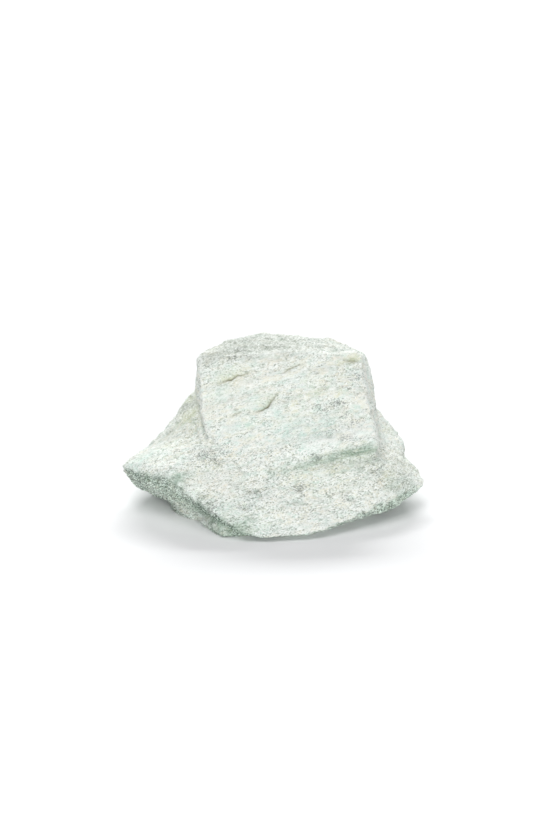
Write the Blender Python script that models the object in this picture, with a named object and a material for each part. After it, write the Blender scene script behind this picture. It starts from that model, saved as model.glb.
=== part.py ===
"""Raw fuchsite: a broken, unpolished piece of pale green mica schist, 70 mm wide.

The stone is one natural piece. Its layers lean back at FACE_SLOPE, so the broad front face, which
split along them, slopes like a roof, and every other side is a stepped break across them.
Six convex blocks give its masses. They are fused, weathered and cut flat where the stone rests.
X runs along the stone, the split face looks towards -Y, and the origin is at the centre of the
bounding box's bottom face. Lengths in the lists are in millimetres.
"""

from math import cos, floor, pi, radians, sin

import bmesh
import bpy
from mathutils import Vector, noise

MM = 0.001

# Driving dimensions, in millimetres
STONE_WIDTH = 70.0          # left tip to right tip
FACE_SLOPE = radians(50)    # the split face and the layers, against the ground
FACE_TOE = (-20.6, 0.5)     # y, z of the line where the split face runs out at the ground
FUSE_CELL = 0.5             # cell size of the grid that fuses the blocks
FUSE_PULL = 0.5             # how strongly one round of easing softens the fused edges
FUSE_ROUNDS = 2             # rounds of easing
FOOT_LEVEL = 0.0            # height at which the underside is cut flat
SUNK = -1.0                 # height of the blocks' feet, below the cut
CUT_MERGE = 0.02            # corners nearer to each other than this become one
CUTTER_SIZE = 200.0         # side of the block that cuts the foot
TRIANGLES = 8000            # triangles in the finished solid

# Relief of the broken surface, in millimetres
SWELL_HEIGHT = 0.45         # broad bumps
SWELL_LENGTH = 14.0
SWELL_PLACE = Vector((8, 2, 5))
QUIET_HEIGHT = 5.0          # the relief grows from the ground up to this height
QUIET_SHARE = 0.2           # share of the relief left at the ground
BREAK_SHARE = 2.2           # how soon a side counts as broken when it turns off the layers
LAYER_THICKNESS = 2.6       # mean thickness of the layers
LAYER_BREAK = 1.2           # how far one layer stands out past the next one
LAYER_LINE = 13.0           # length over which a layer's broken edge keeps its line
LAYER_APART = 5.3           # sets the lines of neighbouring layers apart
LONG_BEND = (1.5, 21.0)     # depth and length of the layers' long bends
SHORT_BEND = (0.4, 7.0)     # depth and length of their short ones
CHIP_SIZE = 6.5             # facets left by chipping
CHIP_HEIGHT = 0.40
CHIP_RIM = 0.35             # share of the facet height that stands above the surface
PLATE_SIZE = (17.0, 8.0)    # thin plates flaked off the split face: along it and up it
PLATE_HEIGHT = 0.32
PLATE_LEVELS = 3.2          # number of levels that the plates lie on
PLATE_RAGGED = (0.5, 3.1)   # raggedness of their edges: share of a level, and how fine
PLATE_EDGE = 6.0            # steepness of their edges
PLATE_PLACE = 3.7

LAYER_NORMAL = Vector((0, -sin(FACE_SLOPE), cos(FACE_SLOPE)))
UP_SLOPE = Vector((0, cos(FACE_SLOPE), sin(FACE_SLOPE)))


def on_face(x, up, proud=0.0):
    """Point on the split face: x along it, up its slope, and proud of its plane."""
    return Vector((x, *FACE_TOE)) + UP_SLOPE * up + LAYER_NORMAL * proud


# Corners of the blocks

CROWN = [
    # split face, from its top left corner round to its top right one
    on_face(-18, 42), on_face(-18.5, 36), on_face(-18, 30), on_face(-16, 23), on_face(-9.5, 17),
    on_face(-0.5, 14.2, 0.3), on_face(5, 17, 1.3), on_face(13, 19.2, 2), on_face(22, 21.7, 2.1),
    on_face(23, 20.4, 1.2), on_face(21, 25, 1.3), on_face(19, 31.5, 0.8), on_face(19.3, 42.5),
    on_face(3, 43, 0.6),
    # lower edge of the overhanging ledge
    on_face(0, 12.6, -1.4), on_face(8, 15.4, -2.4), on_face(16, 17.1, -3.6), on_face(23.3, 19, -4),
    # far edge of the top and the upper flanks
    (-17.5, 11, 31.7), (-9.7, 15, 33.1), (-5, 17.5, 33.8), (5.3, 18.5, 33.3), (12.6, 17, 32),
    (20.5, 14, 29.9), (21.7, 13, 27.3), (23, 12.5, 23.1), (22.7, 12, 20.5),
    (-19, 13, 27.8), (-19, 14, 21.2),
    # back
    (-15, 17, 28.5), (-3, 23, 29), (9, 23.5, 27), (19, 16.5, 23), (-17, 21, 14), (17, 22, 12),
    (-19, 19, 4), (-11, 26, 4), (3, 29, 3.5), (14, 26, 4), (22, 16, 5),
    # inside the base
    (18, 10, 6), (-14, 4, 8), (16, -3, 8), (0, -5, 8),
]

BASE = [
    # sharp front rim, from the left tip to the right one
    (-37, -5, 10.4), (-31.7, -8, 12.2), (-26.5, -12.3, 12.3), (-22.5, -15, 10.2), (-18, -17.5, 7.3),
    (-12.8, -20.8, 4.6), (-8.5, -22.9, 2.9), (-3.5, -24.1, 1.3), (6, -23.6, 1.5), (12, -21.4, 2.3),
    (16, -19.2, 3.3),
    (20.2, -16.4, 4.5), (24.9, -14.1, 5.8), (29.2, -11.2, 6.8), (33.2, -7.4, 6.6), (34, -5, 5.8),
    # lower edge of the bevel under the rim's right end
    (22.8, -12.9, 2.2), (28.1, -9.4, 2), (30.8, -7.6, 3), (32.4, -6.6, 4.6),
    # bench below the ledge, and the bed the slab lies on left of it
    (-17.5, -5.5, 16), (-14.5, -7.2, 15.6), on_face(-13, 18, -0.4), (-8.6, -10.7, 12.3),
    on_face(0, 13.2, -0.5), on_face(5, 15.1, -1.1), on_face(10, 16.3, -1.7),
    on_face(16, 17.3, -2.3), on_face(20, 18.2, -2.7), on_face(23.5, 19.1, -3), (28.5, -1, 10.1),
    # left wing: top, then the undercut below its rim
    (-32.2, 3, 9.7), (-26.5, 8, 13), (-35.6, -1, 4.7), (-31, -2, 2.5), (-27.4, -4, 1.3),
    # foot
    (-18, -7, SUNK), (-8, -17, SUNK), (7, -18.5, SUNK), (17, -11, SUNK), (22, 6, SUNK),
    (15, 21, SUNK), (-4, 24, SUNK), (-17, 17, SUNK), (-22, 3, SUNK),
    # back rim
    (-28, 12, 6), (-19, 19, 4), (-11, 26, 4), (3, 29, 3.5), (14, 26, 4), (25, 15, 5),
    (31, 3, 4.5),
]

SHOULDER = [
    (-32.2, 3, 9.7), (-26.5, 8, 13), (-22.5, 12, 16.2), (-19.3, 15, 20.7), (-16.3, -3, 16.5),
    (-17.2, -0.6, 19.7), (-14, 18, 18), (-14, 5, 8), (-23, 15, 7), (-10, -4, 10), (-17, 21, 9),
]

LEFT_LOBE = [
    # lower layer in the undercut, with a steep front
    (-25.2, -7, SUNK), (-22.8, -10.6, SUNK), (-20.2, -12.6, SUNK), (-18.2, -12.9, SUNK),
    (-24.4, -7.6, 3), (-21.9, -11, 3.9), (-18.6, -13, 4.2), (-18, -2, 6), (-20, 2, 2), (-12, 4, 1),
]

TOE_LOBE = [
    # lower layer between the left lobe and the toe, with a steep front
    (-18, -13.2, SUNK), (-15.4, -16.2, SUNK), (-11.4, -18.6, SUNK), (-4, -18.6, SUNK),
    (-16.6, -17.0, 0.7), (-12.8, -22.1, 0.6), (-4.2, -22.3, 0.6),
    (-17.8, -14.4, 3.4), (-13.6, -19.4, 3.0), (-8.5, -21.6, 1.6), (-12, 4, 1), (0, -12, 1),
    (2, -10, 8),
]

SPUR = [
    (23.9, 10.5, 17.9), (25.3, 10, 15), (27.2, 10, 13.8), (28.2, 7, 11.4), (29.8, 4, 9.9),
    (29.4, 2, 8.1), (32, -2, 7.6), (34, -5, 5.8), (23.3, -4.5, 13),
    (14, -1, 8), (16, 20, 8), (23, 15, 8), (10, 8, 12),
]

# Hollows in the fused blocks: centre x, y, z, then radius and depth
HOLLOWS = [
    (20, 4, 28, 8, 1.0),
    (-24, 10, 15, 6, 1.0),
    (-27, 18, 12, 9, 1.5),
    (5, 26, 18, 10, 1.8),
    (-11, 24, 10, 8, 1.4),
    (31.4, 1.6, 9.2, 4.4, 1.8),
]


def block_mesh(blocks):
    """One mesh holding the convex hull of each block, in millimetres."""
    shape = bmesh.new()
    for corners in blocks:
        hull = bmesh.new()
        for corner in corners:
            hull.verts.new(corner)
        result = bmesh.ops.convex_hull(hull, input=hull.verts)
        inside = {item for item in result["geom_interior"] if isinstance(item, bmesh.types.BMVert)}
        bmesh.ops.delete(hull, geom=list(inside), context="VERTS")
        piece = bpy.data.meshes.new("block")
        hull.to_mesh(piece)
        hull.free()
        shape.from_mesh(piece)
        bpy.data.meshes.remove(piece)
    mesh = bpy.data.meshes.new("blocks")
    shape.to_mesh(mesh)
    shape.free()
    return mesh


def evaluated(mesh, kind, **settings):
    """The mesh after one modifier of the given kind."""
    holder = bpy.data.objects.new("holder", mesh)
    bpy.context.scene.collection.objects.link(holder)
    modifier = holder.modifiers.new(kind, kind)
    for name, value in settings.items():
        setattr(modifier, name, value)
    graph = bpy.context.evaluated_depsgraph_get()
    result = bpy.data.meshes.new_from_object(holder.evaluated_get(graph))
    bpy.data.objects.remove(holder)
    bpy.data.meshes.remove(mesh)
    return result


def layer_break(point):
    """Height of the broken edge of the layer at a point: each layer breaks off along its own line."""
    bend = LONG_BEND[0] * noise.noise(point / LONG_BEND[1])
    bend += SHORT_BEND[0] * noise.noise(point / SHORT_BEND[1])
    layer = floor((point.dot(LAYER_NORMAL) + bend) / LAYER_THICKNESS)
    own_line = Vector((point.x / LAYER_LINE, point.dot(UP_SLOPE) / LAYER_LINE, layer * LAYER_APART))
    return LAYER_BREAK * noise.noise(own_line)


def plate_step(point):
    """Height of the thin plates on the split face: terraces, longer along the stone than up it."""
    spread = Vector((point.x / PLATE_SIZE[0], point.dot(UP_SLOPE) / PLATE_SIZE[1], PLATE_PLACE))
    level = PLATE_LEVELS * noise.noise(spread)
    level += PLATE_RAGGED[0] * noise.noise(spread * PLATE_RAGGED[1])
    step = floor(level)
    edge = min(1.0, (level - step) * PLATE_EDGE)
    return PLATE_HEIGHT * (step + edge)


def chip_facet(point):
    """Height of a surface of shallow facets, from the distance to scattered chip centres."""
    distances, centres = noise.voronoi(point / CHIP_SIZE)
    return CHIP_HEIGHT * (distances[1] - distances[0] - CHIP_RIM)


def hollow_depth(point):
    """Depth of the large hollows at a point."""
    depth = 0.0
    for x, y, z, radius, deepest in HOLLOWS:
        reach = (point - Vector((x, y, z))).length / radius
        if reach < 1:
            depth += deepest * (0.5 + 0.5 * cos(pi * reach))
    return depth


def weather(mesh):
    """Move every vertex along its normal by the relief of a broken schist surface."""
    moved = []
    for vertex in mesh.vertices:
        point = vertex.co.copy()
        normal = vertex.normal.copy()
        across = 1 - abs(normal.dot(LAYER_NORMAL))
        on_break = min(1.0, across * BREAK_SHARE)
        height = SWELL_HEIGHT * noise.noise(point / SWELL_LENGTH + SWELL_PLACE)
        height += on_break * (layer_break(point) + chip_facet(point))
        height += (1 - on_break) * plate_step(point)
        height *= min(1.0, QUIET_SHARE + point.z / QUIET_HEIGHT)
        height -= hollow_depth(point)
        moved.append(point + normal * height)
    for vertex, place in zip(mesh.vertices, moved):
        vertex.co = place


def cut_foot(mesh):
    """Cut the underside flat at FOOT_LEVEL with a block, and merge the slivers along the cut."""
    bpy.ops.mesh.primitive_cube_add(size=CUTTER_SIZE, location=(0, 0, FOOT_LEVEL - CUTTER_SIZE / 2))
    cutter = bpy.context.object
    cutter.hide_render = True
    cutter.display_type = "WIRE"
    mesh = evaluated(mesh, "BOOLEAN", operation="DIFFERENCE", object=cutter)
    bpy.data.objects.remove(cutter)
    shape = bmesh.new()
    shape.from_mesh(mesh)
    bmesh.ops.dissolve_degenerate(shape, dist=CUT_MERGE, edges=shape.edges)
    bmesh.ops.triangulate(shape, faces=shape.faces)
    shape.to_mesh(mesh)
    shape.free()
    return mesh


def centre_and_scale(mesh):
    """Put the origin under the middle of the bounding box and scale to the real width, in metres."""
    low = Vector([min(vertex.co[axis] for vertex in mesh.vertices) for axis in range(3)])
    high = Vector([max(vertex.co[axis] for vertex in mesh.vertices) for axis in range(3)])
    origin = Vector(((low.x + high.x) / 2, (low.y + high.y) / 2, low.z))
    scale = STONE_WIDTH / (high.x - low.x) * MM
    for vertex in mesh.vertices:
        vertex.co = (vertex.co - origin) * scale


def stone_material():
    """Pale green mica schist: matt, with no metal."""
    material = bpy.data.materials.new("pale_green_mica_schist")
    material.use_nodes = True
    shader = material.node_tree.nodes["Principled BSDF"]
    shader.inputs["Base Color"].default_value = (0.62, 0.70, 0.62, 1)
    shader.inputs["Roughness"].default_value = 0.75
    shader.inputs["Metallic"].default_value = 0.0
    return material


def build_stone():
    """The whole stone as one closed solid."""
    mesh = block_mesh([CROWN, BASE, SHOULDER, LEFT_LOBE, TOE_LOBE, SPUR])
    mesh = evaluated(mesh, "REMESH", mode="VOXEL", voxel_size=FUSE_CELL)
    mesh = evaluated(mesh, "SMOOTH", factor=FUSE_PULL, iterations=FUSE_ROUNDS)
    weather(mesh)
    mesh = evaluated(mesh, "REMESH", mode="VOXEL", voxel_size=FUSE_CELL)
    mesh = evaluated(mesh, "TRIANGULATE")
    mesh = evaluated(mesh, "DECIMATE", ratio=TRIANGLES / len(mesh.polygons))
    mesh = cut_foot(mesh)
    centre_and_scale(mesh)
    mesh.name = "stone"
    mesh.materials.append(stone_material())
    stone = bpy.data.objects.new("stone", mesh)
    bpy.context.scene.collection.objects.link(stone)


for old in list(bpy.data.objects):
    bpy.data.objects.remove(old)
build_stone()
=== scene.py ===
"""Raw fuchsite: a broken, unpolished lump of pale green mica schist on a white sweep."""

import math

import bpy
import numpy as np
from mathutils import Matrix, Vector, noise


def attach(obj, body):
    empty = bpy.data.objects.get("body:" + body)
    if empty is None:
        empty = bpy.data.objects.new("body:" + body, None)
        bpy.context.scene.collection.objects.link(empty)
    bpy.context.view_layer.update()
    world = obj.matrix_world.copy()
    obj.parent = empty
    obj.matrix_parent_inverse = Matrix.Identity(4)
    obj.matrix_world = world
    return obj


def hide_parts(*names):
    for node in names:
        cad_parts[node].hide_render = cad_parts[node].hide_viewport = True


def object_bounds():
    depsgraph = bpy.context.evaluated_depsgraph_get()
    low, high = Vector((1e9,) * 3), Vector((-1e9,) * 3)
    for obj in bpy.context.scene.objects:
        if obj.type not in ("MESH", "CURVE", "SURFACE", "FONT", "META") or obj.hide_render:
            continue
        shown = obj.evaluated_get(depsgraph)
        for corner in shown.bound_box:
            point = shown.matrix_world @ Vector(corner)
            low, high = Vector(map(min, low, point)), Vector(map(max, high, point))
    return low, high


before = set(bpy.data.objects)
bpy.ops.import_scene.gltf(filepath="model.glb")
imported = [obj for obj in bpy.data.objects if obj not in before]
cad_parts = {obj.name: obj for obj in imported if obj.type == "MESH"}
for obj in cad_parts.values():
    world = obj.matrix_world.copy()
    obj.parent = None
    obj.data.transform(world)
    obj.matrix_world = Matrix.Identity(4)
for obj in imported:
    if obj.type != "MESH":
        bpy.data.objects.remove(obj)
cad_low, cad_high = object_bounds()
scene = bpy.context.scene


# ---- The lump ---------------------------------------------------------------------
# One natural lump of quartz-mica schist, greened by the chromium mica fuchsite. It split
# from its bed along the mica layers, so the broad front is a sloping split face and every
# other side breaks across the layers. Nothing is fixed to it.

MM = 0.001
SKIN_CELL = 0.336           # mesh cell of the stone's skin, mm
SKIN_EASING = 8             # rounds of smoothing that take off the solid's flat facets
PULL = 0.5                  # in each round, how far a point goes to the mean of its neighbours
PUSH_BACK = -0.51           # the round that follows, so that the lump doesn't shrink
WELD_REACH = 1e-6           # metres

BED_SLOPE = math.radians(50)      # the mica layers, against the ground
STREAK_CLIMB = math.radians(15)   # the streaks climb to the right across the split face
FACE_TOE = np.array((0.0, -23.33, 0.5))   # a point at the foot of the split face, mm

up_slope = Vector((0, math.cos(BED_SLOPE), math.sin(BED_SLOPE)))
through = Vector((0, -math.sin(BED_SLOPE), math.cos(BED_SLOPE)))
along = Vector((math.cos(STREAK_CLIMB), 0, 0)) + up_slope * math.sin(STREAK_CLIMB)
across = Vector((-math.sin(STREAK_CLIMB), 0, 0)) + up_slope * math.cos(STREAK_CLIMB)
bed = np.array((along, across, through))


def shaped(obj, kind, **settings):
    """Gives obj the mesh that one modifier makes of it."""
    modifier = obj.modifiers.new(kind, kind)
    for name, value in settings.items():
        setattr(modifier, name, value)
    seen = obj.evaluated_get(bpy.context.evaluated_depsgraph_get())
    mesh = bpy.data.meshes.new_from_object(seen)
    obj.modifiers.clear()
    obj.data = mesh


stone = bpy.data.objects.new("raw_fuchsite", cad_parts["stone"].data.copy())
scene.collection.objects.link(stone)
shaped(stone, "WELD", merge_threshold=WELD_REACH)
shaped(stone, "REMESH", mode="VOXEL", voxel_size=SKIN_CELL * MM)

skin = stone.data
skin.name = "raw_fuchsite"
count = len(skin.vertices)
points = np.empty(count * 3)
skin.vertices.foreach_get("co", points)
points = points.reshape(-1, 3) / MM
edges = np.empty(len(skin.edges) * 2, int)
skin.edges.foreach_get("vertices", edges)
edges = edges.reshape(-1, 2)
edge_count = np.bincount(edges.ravel(), minlength=count)[:, None]


def neighbour_mean(values):
    """Mean of each vertex's neighbours."""
    total = np.empty_like(values)
    for axis in range(values.shape[1]):
        column = values[:, axis]
        total[:, axis] = np.bincount(edges[:, 0], column[edges[:, 1]], count)
        total[:, axis] += np.bincount(edges[:, 1], column[edges[:, 0]], count)
    return total / edge_count


def eased(values, rounds, pull=PULL):
    """Values smoothed over the skin."""
    for _ in range(rounds):
        values = values + (neighbour_mean(values) - values) * pull
    return values


def skin_normals():
    """Vertex normals of the skin at the present points."""
    skin.vertices.foreach_set("co", (points * MM).ravel())
    skin.update()
    normals = np.empty(count * 3)
    skin.vertices.foreach_get("normal", normals)
    return normals.reshape(-1, 3)


def ramp(values, start, end):
    """0 at start, 1 at end, smooth between."""
    part = np.clip((values - start) / (end - start), 0, 1)
    return part * part * (3 - 2 * part)


foot = points[:, 2] < SKIN_CELL / 2
points[foot, 2] = 0
for _ in range(SKIN_EASING):
    points = eased(points, 1)
    points = eased(points, 1, PUSH_BACK)
points[foot, 2] = 0


def near(places, reach):
    """1 at the places listed as x, y, z in mm, falling to 0 within about twice the reach."""
    share = np.zeros(count)
    for place in places:
        gap = np.linalg.norm(points - np.array(place), axis=1) / reach
        share = np.maximum(share, np.exp(-gap ** 2))
    return share


# the left wing runs up into the shoulder without a step
WING_JOIN = [(-28.7, -1.3, 12.0), (-26.4, -1.0, 12.7), (-24.0, -2.0, 13.6), (-21.6, -3.4, 14.3),
             (-19.2, -4.3, 15.0), (-16.9, -5.0, 15.3)]
JOIN_REACH = 3.4
JOIN_EASING = 260
join = near(WING_JOIN, JOIN_REACH)[:, None]
points += join * (eased(points, JOIN_EASING) - points)

# the left tip thins to a blade
BLADE_TOP = 10.2            # height of its upper side, mm
BLADE_ROOT = 31.5           # where the thinning starts and ends, mm left of the middle
BLADE_TIP = 34.8
BLADE_THINNING = 0.35       # share of the thickness that is lost at the tip
thinning = BLADE_THINNING * ramp(-points[:, 0], BLADE_ROOT, BLADE_TIP)
points[:, 2] += thinning * np.maximum(BLADE_TOP - points[:, 2], 0)

# the faces that lie along the layers are split, and the others are broken across them
BROKEN_COSINE = 0.74
SPLIT_COSINE = 0.93
FACE_EASING = 20            # rounds that leave only the way that a whole face looks
normals = skin_normals()
broad_normals = eased(normals, FACE_EASING)
broad_normals /= np.linalg.norm(broad_normals, axis=1)[:, None]
bedded = points @ bed.T
on_bed = np.abs(broad_normals @ bed[2])
split = ramp(on_bed, BROKEN_COSINE, SPLIT_COSINE)
broken = 1 - split

# the relief fades out above the foot, and the wall under the ledge and the shoulder broke smoothly
SMOOTH_BREAKS = [(4.0, -14.5, 12.2), (8.0, -13.6, 13.6), (12.0, -13.0, 14.6), (16.0, -12.4, 15.4),
                 (20.0, -11.9, 16.0), (-18.9, 8.3, 19.4), (-19.5, 3.6, 18.2), (-21.5, 1.1, 16.6),
                 (-24.5, 1.0, 14.0), (-28.7, -4.0, 12.4), (-22.0, -3.0, 14.2)]
SMOOTH_REACH = 2.6
SMOOTHED_SHARE = 0.6
FOOT_FADE = (0.15, 1.6)     # heights where the relief starts and is full, mm
loose = ramp(points[:, 2], *FOOT_FADE) * (1 - SMOOTHED_SHARE * near(SMOOTH_BREAKS, SMOOTH_REACH))


def mottle(sizes, seed, octaves=1):
    """Noise from about -1 to 1. Sizes are along the streaks, across them and through the layers."""
    spots = bedded / sizes + seed
    return np.array([noise.fractal(Vector(spot), 1.0, 2.0, octaves) for spot in spots])


def stepped(height, sharpness):
    """Height broken into flats one unit apart, with short ramps between them."""
    flat = np.floor(height)
    return flat + np.clip((height - flat - 0.5) * sharpness + 0.5, 0, 1)


# broad dents and swellings
SWELLING = 0.30             # all the amounts of relief are in mm
relief = SWELLING * mottle((11, 7, 6), 3.7, 2)

# the edges of thin layers, each standing out by its own amount, on the broken sides
LAMINA = 0.85               # thickness of one layer, mm
LAMINA_RELIEF = 0.42
LAMINA_WAVE = 0.9           # how far the layers wave, in layers
LAMINA_EDGE = (0.72, 1.0)   # the part of a layer's thickness that slopes to the next one
LAMINA_RUN = 5.5            # mm along a layer over which its edge moves in and out
LAMINA_SHUFFLE = 5.17       # sets each layer apart from the next
layer_height = bedded[:, 2] / LAMINA + LAMINA_WAVE * mottle((9, 7, 8), 17.3, 2)
layer_count = np.floor(layer_height)
layer_part = ramp(layer_height - layer_count, *LAMINA_EDGE)


def stand_out(layer):
    """How far each vertex's layer stands out, varying slowly along it."""
    spots = np.column_stack((bedded[:, :2] / LAMINA_RUN, layer * LAMINA_SHUFFLE))
    return np.array([noise.noise(Vector(spot)) for spot in spots])


lower_layer = stand_out(layer_count)
upper_layer = stand_out(layer_count + 1)
laminae = lower_layer + (upper_layer - lower_layer) * layer_part
relief += LAMINA_RELIEF * broken * laminae

# flakes that came away from the split face, one thin plate at a time
FLAKE = 0.13                # thickness of one flake, mm
FLAKE_COUNT = 3.4           # about how many lie above and below the mean
FLAKE_EDGE = 3.5            # how steep their edges are
STREAK_RELIEF = 0.055
flakes = stepped(FLAKE_COUNT * mottle((9.5, 3.6, 6), 41.9, 3), FLAKE_EDGE)
relief += FLAKE * split * flakes
relief += STREAK_RELIEF * split * mottle((3.2, 0.7, 0.7), 8.3, 2)

CHIP_SHUFFLE = 91.7         # sets which way each chip tilts


def chips(size, seed):
    """Small tilted facets: the plane of each cell of a Voronoi pattern."""
    heights = np.empty(count)
    for index, spot in enumerate(bedded / size + seed):
        centre = noise.voronoi(Vector(spot))[1][0]
        tilt = noise.cell_vector(centre * CHIP_SHUFFLE) * 2 - Vector((1, 1, 1))
        heights[index] = (Vector(spot) - centre).dot(tilt)
    return heights


# each kind of chip: its width, how deep it is on the split face, how much deeper where the rock
# is broken, and its seed
CHIPS = [(2.3, 0.10, 0.24, 12.1), (1.05, 0.05, 0.07, 31.4)]
for size, depth, extra, seed in CHIPS:
    relief += (depth + extra * broken) * chips(size, seed)

# sugary grain of the quartz
COARSE_GRAIN = 0.075
FINE_GRAIN = 0.05
relief += COARSE_GRAIN * mottle((0.95, 0.8, 0.7), 5.1)
relief += FINE_GRAIN * mottle((0.5, 0.45, 0.42), 9.9)

# short open cracks where a flake has lifted: x and distance up the split face, mm
CRACKS = [
    [(-12.4, 35.3), (-11.0, 35.8), (-9.5, 36.3), (-8.2, 37.0), (-6.0, 37.6)],
    [(1.8, 37.4), (3.2, 38.2), (4.8, 39.1), (7.4, 39.9)],
    [(-4.0, 28.4), (-2.6, 28.7), (-1.4, 29.3), (-0.6, 30.2), (-0.2, 31.0), (1.0, 32.5)],
    [(-10.2, 27.0), (-8.4, 27.9), (-6.6, 28.8)],
    [(15.9, 41.1), (18.2, 40.9), (20.3, 40.9)],
]
CRACK_DEPTHS = (0.55, 0.28, 0.58, 0.22, 0.30)
FULL_CRACK = 0.6            # the depth at which a crack's stain and painted shade are full
CRACK_WAVER = 0.30
SUNK_REACH = 1.7            # how far the rock is sunk above a crack
LIFTED_REACH = 0.9          # and how far it is lifted below it
LIFTED_SHARE = 0.22
SLIT_REACH = 0.22           # half the width of the slit itself
SLIT_SHARE = 0.5
STAIN_AND_SHADE_REACH = 0.7
FACE_DEPTH = (5.0, 3.5)     # distances from the split face where cracks stop and are full, mm
CRACK_ENDS = (0.06, 0.94)   # keeps a little depth at both ends of a crack
from_toe = points - FACE_TOE
on_face = np.column_stack((points[:, 0], from_toe @ np.array(up_slope)))
waver = np.column_stack((mottle((1.5, 1.5, 1.5), 61), mottle((1.5, 1.5, 1.5), 71)))
on_face += CRACK_WAVER * waver
near_face = ramp(np.abs(from_toe @ np.array(through)), *FACE_DEPTH)
crack_line = np.zeros(count)
crack_shade = np.zeros(count)
for corners, depth in zip(CRACKS, CRACK_DEPTHS):
    gap = np.full(count, np.inf)
    above = np.zeros(count)
    reach = np.zeros(count)
    for step in range(len(corners) - 1):
        start = np.array(corners[step])
        run = np.array(corners[step + 1]) - start
        share = np.clip((on_face - start) @ run / (run @ run), 0, 1)
        away = on_face - start - share[:, None] * run
        distance = np.linalg.norm(away, axis=1)
        nearer = distance < gap
        gap[nearer] = distance[nearer]
        above[nearer] = np.sign(run[0] * away[nearer, 1] - run[1] * away[nearer, 0])
        reach[nearer] = (step + share[nearer]) / (len(corners) - 1)
    body = near_face * np.sin(math.pi * np.clip(reach, *CRACK_ENDS)) ** 0.7
    # the slit's dark line and the olive tint above the crack, where the rock sinks, are stain and
    # painted shade
    slit = np.exp(-((gap / SLIT_REACH) ** 2))
    stain_and_shade = np.where(above > 0, np.exp(-gap / STAIN_AND_SHADE_REACH), 0)
    relief -= depth * body * np.where(above > 0, np.exp(-gap / SUNK_REACH), 0)
    relief += LIFTED_SHARE * depth * body * np.where(above > 0, 0, np.exp(-gap / LIFTED_REACH))
    relief -= SLIT_SHARE * depth * body * slit
    crack_line = np.maximum(crack_line, body * depth / FULL_CRACK * slit)
    crack_shade = np.maximum(crack_shade, body * depth / FULL_CRACK * stain_and_shade)

# small gouges on the bench and the face
GOUGES = [(5.7, -16.6, 9.0), (4.6, -16.9, 8.9), (-3.6, -18.2, 8.7), (-6.3, -21.5, 6.7),
          (12.9, -10.4, 19.2), (13.6, -4.2, 24.4), (20.0, -11.6, 11.4)]
GOUGE_DEPTH = 0.45
GOUGE_RADIUS = 0.8
relief -= GOUGE_DEPTH * near(GOUGES, GOUGE_RADIUS)

# the relief goes on, the foot stays flat, and the lump stays inside the solid's box
points += normals * (relief * loose)[:, None]
points[foot, 2] = 0
points[:, 2] = np.maximum(points[:, 2], 0)
points = np.clip(points, np.array(cad_low) / MM, np.array(cad_high) / MM)
normals = skin_normals()
FORM_EASING = 14
broad_normals = eased(normals, FORM_EASING)

# how far each place stands out from, or sinks below, its wider and its close surroundings: the
# ramps' numbers are the heights in mm where each mark starts and is full
WIDE_EASING = 60
CLOSE_EASING = 8
outward = np.einsum("ij,ij->i", points - eased(points, WIDE_EASING), broad_normals)
fine_outward = np.einsum("ij,ij->i", points - eased(points, CLOSE_EASING), broad_normals)
edge = ramp(outward, 0.10, 0.75)
# the hollows below get painted shade; the raised edges are made paler
hollow = ramp(-outward, 0.05, 0.55)
fine_edge = ramp(fine_outward, 0.02, 0.13)
fine_hollow = ramp(-fine_outward, 0.02, 0.13)

# the sides that turn down, apart from the foot, which get painted shade
TURNED_DOWN = (-0.22, 0.45)
OFF_FOOT = (0.0, 0.4)       # mm
underside = ramp(-broad_normals[:, 2], *TURNED_DOWN) * ramp(points[:, 2], *OFF_FOOT)

# the lowest rim of the undercut lobes is paler: it gets less of the undersides' painted shade
PALE_RIM = [(-26.2, -9.5, 3.4), (-24.3, -10.3, 2.5), (-22.4, -12.9, 2.8), (-20.5, -14.3, 1.7),
            (-18.6, -15.4, 1.0), (-16.7, -17.5, 1.5)]
RIM_REACH = 1.5
RIM_SHARE = 0.75
underside *= 1 - RIM_SHARE * near(PALE_RIM, RIM_REACH)

# the left wing, the bench under the ledge and the left of the front have a quieter grain: how far
# each one reaches, how quiet it is, and its places
CALM = [
    (3.6, 1.0, [(-30.7, -7.5, 12.2), (-28.6, -3.1, 11.9), (-25.2, -0.9, 13.4), (-22.9, -0.3, 15.1),
                (-21.7, 0.9, 16.4), (-18.7, 3.2, 18.6), (-19.5, 6.8, 18.8), (-18.5, 9.9, 20.0)]),
    (1.8, 0.8, [(5.2, -15.1, 10.1), (7.3, -13.9, 11.0), (10.3, -13.2, 11.1), (13.0, -12.6, 11.4),
                (15.8, -11.8, 11.7), (18.0, -11.2, 11.9)]),
    (4.0, 0.5, [(-16.5, -16.0, 11.5), (-11.5, -17.5, 10.0), (-9.0, -19.5, 8.3)]),
]
calm = np.zeros(count)
for reach, share, places in CALM:
    calm = np.maximum(calm, share * near(places, reach))

# the grain is coarse low on the front, where the rock broke across its layers, and underneath
LOW_FRONT = (23, 18)        # distances up the split face where it starts and is full, mm
UNDERCUT_TOP = (13.5, 10.5)     # heights where the undercut starts and is full, mm
FRONT_GRIT = 0.75
BROKEN_GRIT = 0.45
CALMING = 0.8
low_front = ramp(on_face[:, 1], *LOW_FRONT)
undercut = underside * ramp(points[:, 2], *UNDERCUT_TOP)
gritty = np.maximum(FRONT_GRIT * low_front, np.maximum(BROKEN_GRIT * broken, undercut))
gritty *= 1 - CALMING * calm

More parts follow.
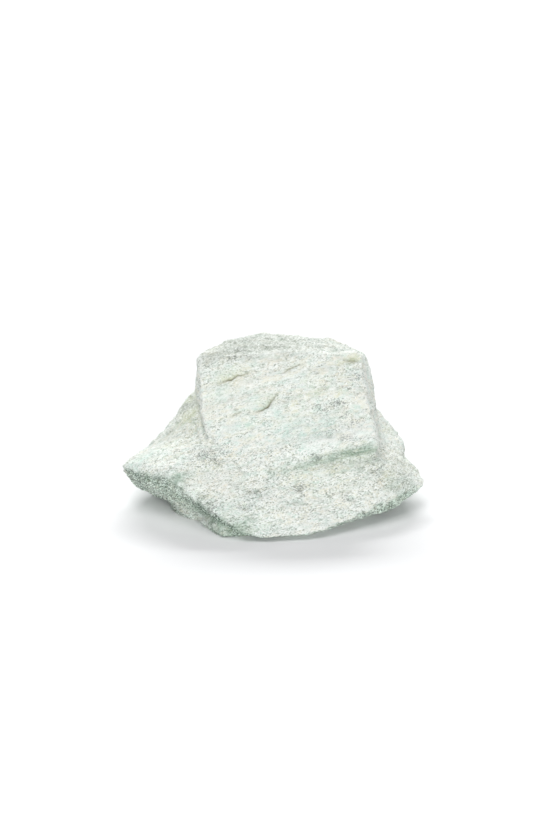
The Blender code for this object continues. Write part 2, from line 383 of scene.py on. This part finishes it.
# Where the tints lie: x, y, z in mm, radius in mm, strength
MINT = [
    (-12.0, -2.6, 25.4, 2.6, 0.8), (-3.9, -3.8, 25.4, 2.4, 0.8), (-10.8, 0.2, 29.7, 1.8, 0.6),
    (4.3, -8.2, 19.9, 3.0, 0.8), (14.0, -6.3, 21.8, 1.9, 0.7), (7.6, -0.7, 29.1, 2.0, 0.7),
    (-29.3, -8.3, 12.5, 3.0, 1.0), (-20.9, -16.4, 11.2, 2.0, 1.2), (-18.1, -19.6, 8.7, 1.6, 1.2),
    (-10.6, -23.0, 5.9, 1.9, 1.0), (-7.0, -24.4, 4.4, 1.8, 0.8), (-2.9, -25.1, 3.0, 1.9, 1.0),
    (-4.7, -22.8, 5.6, 1.8, 0.7), (-6.2, -15.3, 10.9, 1.9, 0.9), (-7.7, -20.8, 7.4, 1.9, 0.6),
    (7.3, -12.2, 16.2, 2.3, 0.8), (25.0, -9.5, 12.3, 1.5, 0.5), (10.7, -9.4, 19.5, 2.7, 0.7),
    (-6.4, -7.0, 20.1, 2.3, 0.6), (-31.8, -9.2, 11.7, 2.2, 1.3),
]
OLIVE = [
    (-19.1, 8.0, 19.2, 2.6, 1.3), (-19.6, 2.6, 18.0, 2.8, 1.5), (-17.9, -1.9, 18.0, 1.6, 0.9),
    (-9.9, -0.3, 29.2, 2.3, 0.6), (-0.2, -3.9, 25.2, 1.4, 0.6), (19.2, 3.0, 32.0, 1.5, 1.1),
    (15.9, 1.7, 31.5, 1.3, 0.7), (15.8, -3.1, 26.4, 1.0, 1.0), (10.8, -2.4, 27.3, 2.0, 0.6),
    (6.2, -4.3, 24.4, 2.4, 0.4), (-14.8, -13.2, 12.9, 1.9, 0.7), (-24.3, -3.7, 13.2, 2.0, 0.6),
    (19.5, -10.4, 12.5, 3.0, 0.6), (26.6, -11.8, 10.0, 1.8, 0.9), (26.9, 1.4, 14.4, 1.4, 0.8),
    (14.4, -12.1, 11.6, 1.5, 0.8), (15.6, -13.8, 10.2, 1.4, 0.6), (2.4, 8.8, 33.8, 2.0, 0.7),
    (9.0, -14.5, 10.8, 4.5, 0.3), (16.5, -15.0, 9.5, 4.0, 0.25),
]
BLUSH = [
    (-6.9, -1.5, 27.9, 2.2, 0.9), (-2.1, -2.7, 26.7, 1.5, 0.9), (-15.2, -4.3, 22.9, 2.3, 0.8),
    (-8.1, -4.0, 24.8, 1.8, 0.6), (9.9, -0.5, 29.5, 1.9, 0.5), (21.4, -3.0, 25.8, 1.5, 0.8),
    (16.3, -5.7, 22.5, 1.5, 0.7), (-18.9, -17.0, 11.0, 1.4, 1.0), (23.5, -14.7, 8.5, 1.9, 0.8),
    (14.4, -17.0, 8.0, 2.3, 0.6), (27.3, -5.1, 11.8, 2.8, 0.9), (-12.0, -17.2, 10.3, 3.2, 0.7),
    (-8.4, -15.0, 11.3, 1.4, 1.0), (-4.3, -16.3, 9.9, 1.4, 0.9), (-0.7, 1.4, 31.4, 2.4, 0.6),
]
# grey specks; the last few, in the crease left of the toe, are painted shade made of dense dark specks
SLATE_AND_SHADE = [
    (-14.2, 3.4, 32.7, 2.6, 0.5), (-8.6, 3.4, 33.2, 2.8, 0.8), (13.5, -4.3, 24.4, 1.4, 1.1),
    (10.8, -4.8, 23.6, 1.2, 1.0), (18.8, -8.3, 20.9, 1.9, 0.9), (20.3, 0.5, 28.8, 1.2, 1.0),
    (-16.0, -11.9, 14.1, 2.8, 0.9), (-3.6, -18.2, 8.7, 2.3, 0.9), (-6.3, -21.5, 6.7, 1.9, 0.9),
    (5.7, -16.6, 9.0, 1.2, 1.2), (-0.2, -15.2, 10.4, 2.3, 0.7), (20.0, -11.9, 11.1, 1.5, 0.3),
    (17.4, -10.7, 18.8, 1.9, 0.8), (10.0, -13.1, 15.1, 0.9, 1.6), (16.9, -17.7, 7.1, 1.4, 0.9),
    (24.9, -13.5, 9.2, 1.0, 1.0), (24.0, -11.7, 10.9, 1.8, 0.9), (12.9, -10.0, 19.7, 2.0, 0.7),
    (14.6, -4.6, 24.3, 1.0, 1.4), (15.9, -6.4, 22.5, 1.0, 1.0), (19.8, -10.9, 15.0, 1.4, 0.7),
    (-31.8, -10.2, 9.2, 0.9, 1.2), (-29.2, -12.1, 8.6, 1.0, 1.2), (-17.3, -18.7, 5.0, 1.8, 1.0),
    (-9.5, -24.8, 4.1, 1.4, 0.9), (-14.0, -11.5, 14.1, 1.8, 0.8), (-11.2, -10.4, 14.9, 1.6, 0.7),
    (-15.6, -21.5, 5.6, 1.5, 1.1), (-13.6, -22.8, 4.6, 1.4, 0.9), (-25.8, -14.5, 10.2, 1.6, 0.6),
    (-19.4, -17.8, 6.3, 1.3, 1.3), (-16.5, -20.9, 6.3, 1.3, 1.6), (-14.9, -22.1, 5.7, 1.7, 1.8),
    (-13.3, -23.1, 5.2, 1.5, 1.5),
]
# greyer patches, partly grey rock and partly painted shade: the top, which the light from behind falls
# on fully, and a few shaded spots
DUSKY_AND_SHADE = [
    (-14.5, 3.3, 33.1, 3.0, 0.7), (-10.0, 5.1, 33.6, 3.6, 0.9), (-5.5, 5.5, 33.6, 3.4, 1.0),
    (-0.7, 5.9, 33.5, 3.4, 0.9), (4.5, 6.0, 33.5, 3.4, 0.8), (9.5, 7.0, 33.5, 2.8, 0.6),
    (-9.5, 9.0, 33.8, 4.0, 0.9), (-3.1, 11.0, 33.9, 4.2, 0.9), (4.0, 12.5, 33.6, 4.2, 0.8),
    (11.0, 12.0, 33.2, 3.5, 0.6), (0.9, 8.2, 33.7, 3.0, 1.15), (4.2, 9.0, 33.7, 2.4, 0.9),
    (14.4, 6.9, 33.3, 2.4, 0.4), (-24.5, 1.5, 14.0, 4.5, 0.5), (-20.0, 6.0, 18.5, 3.5, 0.45),
    (29.5, -9.5, 9.5, 3.5, 0.45), (-28.5, -5.0, 12.0, 3.0, 0.2), (-19.5, 6.8, 18.8, 2.0, 1.3),
    (30.5, -11.0, 8.5, 2.6, 0.35), (28.5, -13.0, 7.2, 2.4, 0.45),
]
# green rock and painted shade: green patches darken the wall under the ledge and the undercut, where
# shade falls
VERDURE_AND_SHADE = [
    # the wall under the ledge
    (2.7, -14.2, 11.4, 0.9, 0.5), (6.1, -13.9, 13.0, 1.2, 0.5), (9.5, -13.4, 14.2, 1.4, 0.45),
    (13.7, -12.7, 15.2, 1.5, 0.4), (17.5, -12.3, 15.8, 1.6, 0.5), (21.5, -11.8, 16.3, 1.7, 0.6),
    (16.7, -12.3, 14.9, 1.0, 0.7), (18.3, -12.0, 15.1, 1.0, 0.8), (19.9, -11.0, 15.2, 1.1, 0.8),
    (21.5, -10.6, 15.4, 1.1, 0.7), (18.0, -12.2, 16.0, 1.0, 0.7), (19.8, -12.0, 16.1, 1.1, 0.8),
    (21.7, -11.8, 16.5, 1.0, 0.7), (0.2, -14.6, 11.6, 0.9, 0.6), (1.8, -14.4, 12.0, 0.9, 0.7),
    (3.4, -14.2, 12.4, 0.9, 0.6),
    # the undercut left of the toe: its band under the rim, then its lower lobes
    (-33.1, -8.0, 8.3, 1.5, 0.2), (-30.6, -10.8, 8.4, 1.6, 0.3), (-28.2, -12.9, 8.9, 1.5, 0.4),
    (-25.4, -14.0, 7.7, 1.6, 0.4), (-23.1, -15.8, 7.8, 1.5, 0.5), (-21.2, -16.3, 6.6, 1.5, 0.6),
    (-19.4, -17.1, 5.7, 1.4, 0.7), (-17.6, -18.0, 4.6, 1.4, 0.9), (-15.7, -19.5, 4.1, 1.4, 1.0),
    (-13.9, -20.8, 3.5, 1.5, 1.0), (-11.5, -23.6, 3.4, 1.5, 1.0), (-9.2, -24.9, 2.9, 1.4, 1.0),
    (-7.0, -25.6, 2.2, 1.3, 0.8), (-12.4, -23.4, 1.5, 1.5, 0.8), (-10.0, -24.3, 1.2, 1.5, 0.9),
    (-7.5, -24.6, 1.0, 1.4, 0.8), (-21.2, -16.4, 11.2, 1.4, 0.9), (-31.8, -10.2, 9.2, 0.9, 0.6),
    (-30.1, -11.5, 8.8, 0.9, 0.6), (-28.2, -12.8, 8.7, 1.2, 0.8), (-25.9, -14.0, 8.2, 1.2, 0.8),
    (-16.5, -20.9, 6.0, 1.5, 1.2), (-11.5, -23.2, 2.5, 1.2, 1.0), (-7.9, -25.4, 2.9, 1.2, 0.9),
    (-6.0, -24.6, 3.9, 1.2, 0.7),
    # the top of the left wing's rim
    (-30.5, -11.3, 10.4, 1.2, 0.35), (-28.2, -13.0, 10.5, 1.3, 0.45), (-25.8, -14.7, 10.6, 1.4, 0.5),
    (-23.4, -16.2, 10.6, 1.4, 0.45), (-20.6, -17.9, 9.9, 1.2, 0.4),
    # the right tip and the bevel under it
    (30.2, -13.5, 7.2, 1.6, 0.25), (32.0, -11.1, 7.5, 1.4, 0.4), (27.9, -13.6, 8.2, 1.8, 0.35),
    (26.8, -14.9, 3.8, 2.0, 0.3), (29.2, -13.4, 4.3, 2.0, 0.3), (24.0, -17.0, 3.8, 1.4, 0.15),
]
# white quartz and painted light: the first five lighten the ledge's lip, the last two lift the shade on
# the bench under it
CHALKY_AND_LIT = [
    (20.8, -9.2, 20.4, 1.5, 0.8), (19.4, -10.1, 19.5, 1.6, 1.0), (16.4, -10.4, 18.9, 1.6, 0.8),
    (13.0, -11.3, 18.3, 1.6, 1.0), (9.8, -12.5, 17.1, 1.6, 0.7), (-26.3, -1.9, 12.6, 2.0, 0.7),
    (-10.4, -3.0, 25.6, 1.6, 0.4), (-5.6, -1.6, 27.9, 1.8, 0.5), (-12.2, -16.2, 12.6, 2.2, 0.6),
    (18.8, -10.9, 12.1, 1.4, 0.8), (17.2, -11.3, 11.9, 1.1, 0.6),
]

# more patches of each tint lie on the back and the sides: how many, their radii in mm, and their
# strengths
HIDDEN_PATCHES = 26
HIDDEN_RADII = (1.4, 3.2)
HIDDEN_STRENGTHS = (0.5, 1.1)
FRONT = np.array((0, -0.906, 0.423))
TURNED_AWAY = 0.05          # sides that face the front less than this are hidden

DRAWN_OUT = np.array((1.5, 0.9, 1.0))     # a patch's shape along the streaks, across and through
PATCH_FALL = 0.9
RAGGEDNESS = 1.3            # mm
ragged = RAGGEDNESS * np.column_stack([mottle((2.6, 1.6, 1.6), seed, 3) for seed in (81, 91, 101)])


def patches(marks, seed, hidden=1.0):
    """Ragged patches: those listed, and others on the back at a share of the usual strength."""
    draw = np.random.default_rng(seed)
    behind = np.flatnonzero(normals @ FRONT < TURNED_AWAY)
    listed = list(marks)
    for place in draw.choice(behind, HIDDEN_PATCHES, replace=False):
        radius = draw.uniform(*HIDDEN_RADII)
        weight = hidden * draw.uniform(*HIDDEN_STRENGTHS)
        listed.append((*points[place], radius, weight))
    strength = np.zeros(count)
    for x, y, z, radius, weight in listed:
        offset = (bedded + ragged - bed @ np.array((x, y, z))) / (radius * DRAWN_OUT)
        share = np.exp(-PATCH_FALL * (offset ** 2).sum(axis=1))
        strength = np.maximum(strength, weight * share)
    return strength


surface = {
    "mint": patches(MINT, 11),
    "olive": patches(OLIVE, 12),
    "blush": patches(BLUSH, 13),
    "slate_and_shade": patches(SLATE_AND_SHADE, 14),
    "dusk_and_shade": patches(DUSKY_AND_SHADE, 15, 0.6),
    "verdure_and_shade": patches(VERDURE_AND_SHADE, 16, 0.25),
    "chalky_and_lit": patches(CHALKY_AND_LIT, 17, 0.7),
    "crack_line": crack_line,
    "crack_shade": crack_shade,
    "edge": edge,
    "hollow": hollow,
    "fine_edge": fine_edge,
    "fine_hollow": fine_hollow,
    "underside": underside,
    "gritty": gritty,
    "undercut": undercut,
    "calm": calm,
}
for name, values in surface.items():
    attribute = skin.attributes.new(name, "FLOAT", "POINT")
    attribute.data.foreach_set("value", values.astype(np.float32))
for polygon in skin.polygons:
    polygon.use_smooth = True

# Colours of the dry stone, as display values from 0 to 255
PALE = (239, 243, 237)
CHALK = (250, 254, 250)
COOL = (229, 235, 230)
WARM = (242, 241, 225)
MINT_GREEN = (200, 228, 217)
OLIVE_STAIN = (200, 205, 160)
CREAM_FLAKE = (241, 239, 218)
BLUSH_QUARTZ = (242, 233, 217)
DUSK = (182, 188, 178)
TOP_SHADE = (238, 239, 237)
GRIT = (156, 163, 152)
SLATE_SPECK = (97, 105, 100)
MOSS_SPECK = (126, 146, 126)
DEEP_GREEN = (184, 200, 188)
HOLLOW_GREEN = (150, 170, 152)
PALE_FLECK = (232, 247, 235)
DARK_FLECK = (86, 102, 88)
CRACK_BROWN = (124, 116, 84)


def paint(display):
    """Linear colour of a display colour."""
    channels = [value / 255 for value in display]
    return (*[((c + 0.055) / 1.055) ** 2.4 if c > 0.04045 else c / 12.92 for c in channels], 1)


def put(tree, kind, wires=(), **settings):
    """Adds a node; a wire is an input and the value or socket that feeds it."""
    node = tree.nodes.new("ShaderNode" + kind)
    for name, value in settings.items():
        setattr(node, name, value)
    for socket, source in wires:
        if isinstance(source, bpy.types.NodeSocket):
            tree.links.new(source, node.inputs[socket])
        else:
            node.inputs[socket].default_value = source
    return node


def reckon(tree, operation, first, second, clamp=False):
    """Arithmetic on two values."""
    wires = [(0, first), (1, second)]
    return put(tree, "Math", wires, operation=operation, use_clamp=clamp).outputs[0]


def grains_group():
    """Grains scattered through the rock: a mask from position, grain size and how common they are."""
    rarest = 0.86           # the noise level above which a grain shows where the density is 0
    commoner = 0.44         # how far that level falls where it is 1
    group = bpy.data.node_groups.new("scattered_grains", "ShaderNodeTree")
    face = group.interface
    face.new_socket("Position", in_out="INPUT", socket_type="NodeSocketVector")
    for name in ("Grains per mm", "Density", "Softness"):
        face.new_socket(name, in_out="INPUT", socket_type="NodeSocketFloat")
    face.new_socket("Mask", in_out="OUTPUT", socket_type="NodeSocketFloat")
    entry = group.nodes.new("NodeGroupInput").outputs
    wires = [("Vector", entry["Position"]), ("Scale", entry["Grains per mm"])]
    wires += [("Detail", 2.0), ("Roughness", 0.6)]
    texture = put(group, "TexNoise", wires)
    fall = reckon(group, "MULTIPLY", entry["Density"], commoner)
    level = reckon(group, "SUBTRACT", rarest, fall)
    start = reckon(group, "SUBTRACT", level, entry["Softness"])
    end = reckon(group, "ADD", level, entry["Softness"])
    wires = [("Value", texture.outputs[0]), ("From Min", start), ("From Max", end)]
    mask = put(group, "MapRange", wires, interpolation_type="SMOOTHSTEP")
    group.links.new(mask.outputs[0], group.nodes.new("NodeGroupOutput").inputs[0])
    return group


schist = bpy.data.materials.new("fuchsite_schist")
schist.use_nodes = True
tree = schist.node_tree
shader = tree.nodes["Principled BSDF"]


def times(first, second, clamp=False):
    """Product of two of the schist's values."""
    return reckon(tree, "MULTIPLY", first, second, clamp)


def plus(first, second, clamp=False):
    """Sum of two of the schist's values."""
    return reckon(tree, "ADD", first, second, clamp)


def minus(first, second, clamp=False):
    """The first of two of the schist's values, less the second."""
    return reckon(tree, "SUBTRACT", first, second, clamp)


def larger(first, second, clamp=False):
    """The larger of two of the schist's values."""
    return reckon(tree, "MAXIMUM", first, second, clamp)


def laid(under, share, display, blend="MIX"):
    """A colour with a share of a display colour laid over it."""
    wires = [(0, share), (6, under), (7, paint(display))]
    return put(tree, "Mix", wires, data_type="RGBA", blend_type=blend).outputs[2]


def mark(name):
    """A value stored on the skin."""
    return put(tree, "Attribute", attribute_name=name).outputs["Fac"]


place = put(tree, "TexCoord").outputs["Object"]
turn = Matrix((along, across, through)).to_euler()
PER_MM = (1 / MM, 1 / MM, 1 / MM)
bed_wires = [("Vector", place), ("Rotation", turn), ("Scale", PER_MM)]
bed_mm = put(tree, "Mapping", bed_wires).outputs[0]


def stretched(scale, shift=(0, 0, 0)):
    """Position in the bed, squeezed by scale per mm along, across and through it."""
    wires = [("Vector", bed_mm), ("Location", shift), ("Scale", scale)]
    return put(tree, "Mapping", wires).outputs[0]


def noise_of(position, detail, roughness=0.5, distortion=0.0):
    """Plain noise at a position."""
    wires = [("Vector", position), ("Scale", 1.0), ("Detail", detail)]
    wires += [("Roughness", roughness), ("Distortion", distortion)]
    return put(tree, "TexNoise", wires).outputs[0]


def cell_tone(position):
    """A tone from 0 to 1 for each cell of the rock."""
    cells = put(tree, "TexVoronoi", [("Vector", position), ("Scale", 1.0)])
    return put(tree, "SeparateColor", [(0, cells.outputs["Color"])]).outputs[0]


def window(value, start, end, low=0.0, high=1.0):
    """Low where the value is at start, high where it is at end, and smooth between them."""
    wires = [("Value", value), ("From Min", start), ("From Max", end), ("To Min", low), ("To Max", high)]
    return put(tree, "MapRange", wires, interpolation_type="SMOOTHSTEP").outputs[0]


grains = grains_group()


def grain_mask(position, per_mm, density, softness):
    """One kind of grain."""
    node = tree.nodes.new("ShaderNodeGroup")
    node.node_tree = grains
    for socket, source in zip(node.inputs, (position, per_mm, density, softness)):
        if isinstance(source, bpy.types.NodeSocket):
            tree.links.new(source, socket)
        else:
            socket.default_value = source
    return node.outputs[0]


# broad clouds of pale rock in cooler rock, then clouds of other colours: each one's size, shift,
# detail and roughness, the noise levels where it starts and is full, its full share and its colour
CLOUDS = [
    ((0.10, 0.20, 0.16), (0, 0, 0), 3.0, 0.55, 0.40, 0.62, 1.00, PALE),
    ((0.14, 0.24, 0.20), (9, 2, 5), 3.0, 0.60, 0.48, 0.68, 0.75, WARM),
    ((0.30, 0.62, 0.55), (7, 3, 4), 1.5, 0.50, 0.52, 0.70, 0.55, MINT_GREEN),
    ((0.34, 0.70, 0.60), (2, 8, 6), 1.5, 0.50, 0.52, 0.70, 0.60, BLUSH_QUARTZ),
]
colour = paint(COOL)
for scale, shift, detail, roughness, start, full, share, tint in CLOUDS:
    cloud = noise_of(stretched(scale, shift), detail, roughness)
    colour = laid(colour, window(cloud, start, full, 0.0, share), tint)

# flakes that run to mint on one side and to cream on the other
flake_hue = noise_of(stretched((0.45, 0.9, 0.9), (8, 4, 2)), 0.5)
colour = laid(colour, window(flake_hue, 0.50, 0.66, 0.0, 0.42), MINT_GREEN)
colour = laid(colour, window(flake_hue, 0.50, 0.34, 0.0, 0.60), CREAM_FLAKE)

# the tints' own patches; the grey patches are partly painted shade
for name, share, tint in (("mint", 0.65, MINT_GREEN), ("blush", 0.70, BLUSH_QUARTZ),
                          ("olive", 0.62, OLIVE_STAIN), ("dusk_and_shade", 0.95, DUSK)):
    colour = laid(colour, times(mark(name), share, clamp=True), tint)

# where the grain is quiet, and where green rock and painted shade make it deep green
quiet = window(noise_of(stretched((0.20, 0.36, 0.36), (5, 1, 7)), 3.0, 0.6), 0.46, 0.60)
quiet = larger(quiet, larger(mark("mint"), mark("calm")), clamp=True)
quiet = larger(quiet, mark("chalky_and_lit"), clamp=True)
quiet = minus(quiet, times(mark("gritty"), 0.6), clamp=True)
lively = minus(1.0, times(quiet, 0.65))
deep = plus(times(mark("underside"), 0.42), mark("verdure_and_shade"), clamp=True)
deep = plus(deep, times(mark("hollow"), 0.10), clamp=True)

# the fine drawn-out streaks of the layers
streak = noise_of(stretched((0.50, 3.0, 3.2)), 4.0, 0.62, distortion=0.4)
colour = laid(colour, times(window(streak, 0.36, 0.50, 0.52, 0.0), lively), DUSK)
colour = laid(colour, window(streak, 0.50, 0.66, 0.0, 0.42), CHALK)

# mica flakes lying in the layers, each with its own tone
flake_tone = cell_tone(stretched((2.1, 3.1, 3.6)))
light_flake = times(window(flake_tone, 0.65, 1.0, 0.0, 0.6), lively)
dark_flake = times(window(flake_tone, 0.0, 0.30, 0.40, 0.0), lively)
colour = laid(colour, light_flake, CHALK)
colour = laid(colour, dark_flake, DUSK)

# the finest grit, stronger where the rock is broken or undercut, its dark grains in clumps
grit_tone = cell_tone(stretched((2.9, 5.4, 5.4), (1, 5, 2)))
coarse = plus(mark("gritty"), times(deep, 0.5), clamp=True)
grit_share = plus(times(lively, 0.80), times(coarse, 0.34))
clump = window(noise_of(stretched((0.75, 1.2, 1.2), (3, 9, 6)), 2.0, 0.6), 0.40, 0.60, 0.20, 1.25)
grit_clumps = times(grit_share, clump, clamp=True)
light_grit = times(window(grit_tone, 0.52, 0.85), grit_share)
dark_grit = times(window(grit_tone, 0.40, 0.06), grit_clumps)
colour = laid(colour, light_grit, CHALK)
colour = laid(colour, dark_grit, GRIT)

# white quartz grains, mossy grains and dark specks, which also paint shade in the crease left of the toe
chalk_place = stretched((0.7, 1.2, 1.2), (4, 7, 1))
chalk_mask = grain_mask(chalk_place, per_mm=2.6, density=0.62, softness=0.05)
colour = laid(colour, times(chalk_mask, 0.70), CHALK)
moss_density = plus(0.50, times(deep, 0.30))
moss_place = stretched((0.7, 1.2, 1.3), (2, 3, 8))
moss_mask = grain_mask(moss_place, per_mm=2.7, density=moss_density, softness=0.045)
colour = laid(colour, times(times(moss_mask, 0.55), lively), MOSS_SPECK)
speck_cloud = window(noise_of(stretched((0.16, 0.30, 0.26), (3, 8, 2)), 3.0, 0.6), 0.42, 0.66, 0.0, 0.16)
speck_density = plus(plus(0.29, speck_cloud), times(mark("slate_and_shade"), 0.44))
speck_density = plus(speck_density, times(mark("undercut"), 0.36))
speck_place = stretched((0.75, 1.2, 1.3), (6, 1, 3))
speck_mask = grain_mask(speck_place, per_mm=3.2, density=speck_density, softness=0.04)
colour = laid(colour, times(speck_mask, 0.75), SLATE_SPECK)

# white quartz veins with painted light on the ledge, paler raised edges, and painted shade in the small
# hollows
for name, share, tint in (("chalky_and_lit", 0.60, CHALK), ("edge", 0.22, CHALK),
                          ("fine_edge", 0.24, CHALK), ("fine_hollow", 0.22, HOLLOW_GREEN)):
    colour = laid(colour, times(mark(name), share), tint)

# the top greyed with painted shade, the green depths with painted shade and flecks, the cracks' stain
# and painted shade
# painted shade: the top and the other grey patches are multiplied darker
colour = laid(colour, times(mark("dusk_and_shade"), 1.0, clamp=True), TOP_SHADE, "MULTIPLY")
# painted shade with green rock: undersides, hollows and the green patches are multiplied darker
colour = laid(colour, deep, DEEP_GREEN, "MULTIPLY")
pale_fleck = times(window(grit_tone, 0.64, 0.80), mark("undercut"))
colour = laid(colour, times(pale_fleck, 0.95), PALE_FLECK)
dark_fleck = times(window(grit_tone, 0.38, 0.20), mark("undercut"))
colour = laid(colour, times(dark_fleck, 0.75), DARK_FLECK)
colour = laid(colour, times(mark("crack_shade"), 0.45, clamp=True), OLIVE_STAIN)
colour = laid(colour, times(mark("crack_line"), 0.9, clamp=True), CRACK_BROWN)
tree.links.new(colour, shader.inputs["Base Color"])

# dull quartz with silkier mica flakes
gloss = window(flake_tone, 0.80, 1.0, 0.72, 0.42)
tree.links.new(plus(gloss, times(streak, 0.12)), shader.inputs["Roughness"])
shader.inputs["IOR"].default_value = 1.5
shader.inputs["Specular IOR Level"].default_value = 0.4

# the grain that is too fine for the skin's mesh
GRAIN_DEPTH = 0.20          # mm
GRAIN_STRENGTH = 0.7
tooth = noise_of(stretched((3.0, 4.4, 4.6)), 2.0, 0.6)
height = plus(times(tooth, 0.6), times(streak, 0.6))
height = plus(height, times(flake_tone, 0.15))
bump_wires = [("Strength", GRAIN_STRENGTH), ("Distance", GRAIN_DEPTH * MM), ("Height", height)]
bump = put(tree, "Bump", bump_wires)
tree.links.new(bump.outputs[0], shader.inputs["Normal"])

skin.materials.clear()
skin.materials.append(schist)
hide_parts("stone")
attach(stone, "root")


# ---- The sweep --------------------------------------------------------------------
# A plain white sheet of card, wide enough to fill the view, that the stone lies on.
# It isn't part of the object.

SWEEP_HALF = 1.2            # half the sheet's side, metres
CARD_WHITE = (0.90, 0.905, 0.915, 1)
sweep_mesh = bpy.data.meshes.new("sweep")
sweep_corners = [(-SWEEP_HALF, -SWEEP_HALF, 0), (SWEEP_HALF, -SWEEP_HALF, 0)]
sweep_corners += [(SWEEP_HALF, SWEEP_HALF, 0), (-SWEEP_HALF, SWEEP_HALF, 0)]
sweep_mesh.from_pydata(sweep_corners, [], [(0, 1, 2, 3)])
sweep = bpy.data.objects.new("sweep", sweep_mesh)
scene.collection.objects.link(sweep)
card = bpy.data.materials.new("white_card")
card.use_nodes = True
card_shader = card.node_tree.nodes["Principled BSDF"]
card_shader.inputs["Base Color"].default_value = CARD_WHITE
card_shader.inputs["Roughness"].default_value = 0.9
card_shader.inputs["Specular IOR Level"].default_value = 0.1
sweep_mesh.materials.append(card)


# ---- The light --------------------------------------------------------------------
# A product shot's softboxes in a dim white room: a key behind, a long low one that lights the
# sheet under the stone's wings, one overhead and a fill in front. The sheet burns out to white,
# but for the stone's soft shadow. None of it is part of the object.

room = bpy.data.worlds.new("white_room")
scene.world = room
room.use_nodes = True
room_light = room.node_tree.nodes["Background"]
room_light.inputs["Color"].default_value = (1, 1, 1, 1)

# the walls that the camera sees are white, and the light that they throw is dim
ROOM_LIGHT = 0.24
seen_walls = room.node_tree.nodes.new("ShaderNodeLightPath").outputs["Is Camera Ray"]
wall_strength = room.node_tree.nodes.new("ShaderNodeMapRange")
wall_strength.inputs["To Min"].default_value = ROOM_LIGHT
wall_strength.inputs["To Max"].default_value = 1.0
room.node_tree.links.new(seen_walls, wall_strength.inputs["Value"])
room.node_tree.links.new(wall_strength.outputs[0], room_light.inputs["Strength"])

# where each softbox hangs, its width and height in metres, and its power in watts
SOFTBOXES = {
    "overhead": ((-0.44, -0.22, 1.98), 1.3, 1.2, 17.0),
    "key": ((-0.16, 2.43, 2.00), 2.4, 0.42, 73.0),
    "low_back": ((0.10, 2.77, 1.00), 6.0, 0.7, 17.0),
    "front": ((0.60, -2.25, 0.66), 1.8, 1.2, 29.0),
}
for name, (position, width, height, power) in SOFTBOXES.items():
    lamp = bpy.data.lights.new(name, "AREA")
    lamp.shape = "RECTANGLE"
    lamp.size = width
    lamp.size_y = height
    lamp.energy = power
    softbox = bpy.data.objects.new(name, lamp)
    softbox.location = position
    softbox.rotation_mode = "QUATERNION"
    softbox.rotation_quaternion = (-Vector(position)).to_track_quat("-Z", "Y")
    softbox.visible_camera = False
    scene.collection.objects.link(softbox)
scene.view_settings.view_transform = "Standard"


# ---- The camera -------------------------------------------------------------------
# A long lens, square to the stone's front and looking 25 degrees down on it, from far enough
# back that the stone's sides hardly converge. It isn't part of the object.

LOOK_DOWN = math.radians(25)
AIM = Vector((0.001050, -0.002716, 0.020394))     # metres
DISTANCE = 0.5339
lens = bpy.data.cameras.new("camera")
lens.lens = 100
lens.sensor_width = 36
lens.clip_start = 0.01
lens.clip_end = 20
camera = bpy.data.objects.new("camera", lens)
backwards = Vector((0, -math.cos(LOOK_DOWN), math.sin(LOOK_DOWN)))
camera.location = AIM + backwards * DISTANCE
camera.rotation_mode = "QUATERNION"
camera.rotation_quaternion = (-backwards).to_track_quat("-Z", "Y")
scene.collection.objects.link(camera)
scene.camera = camera
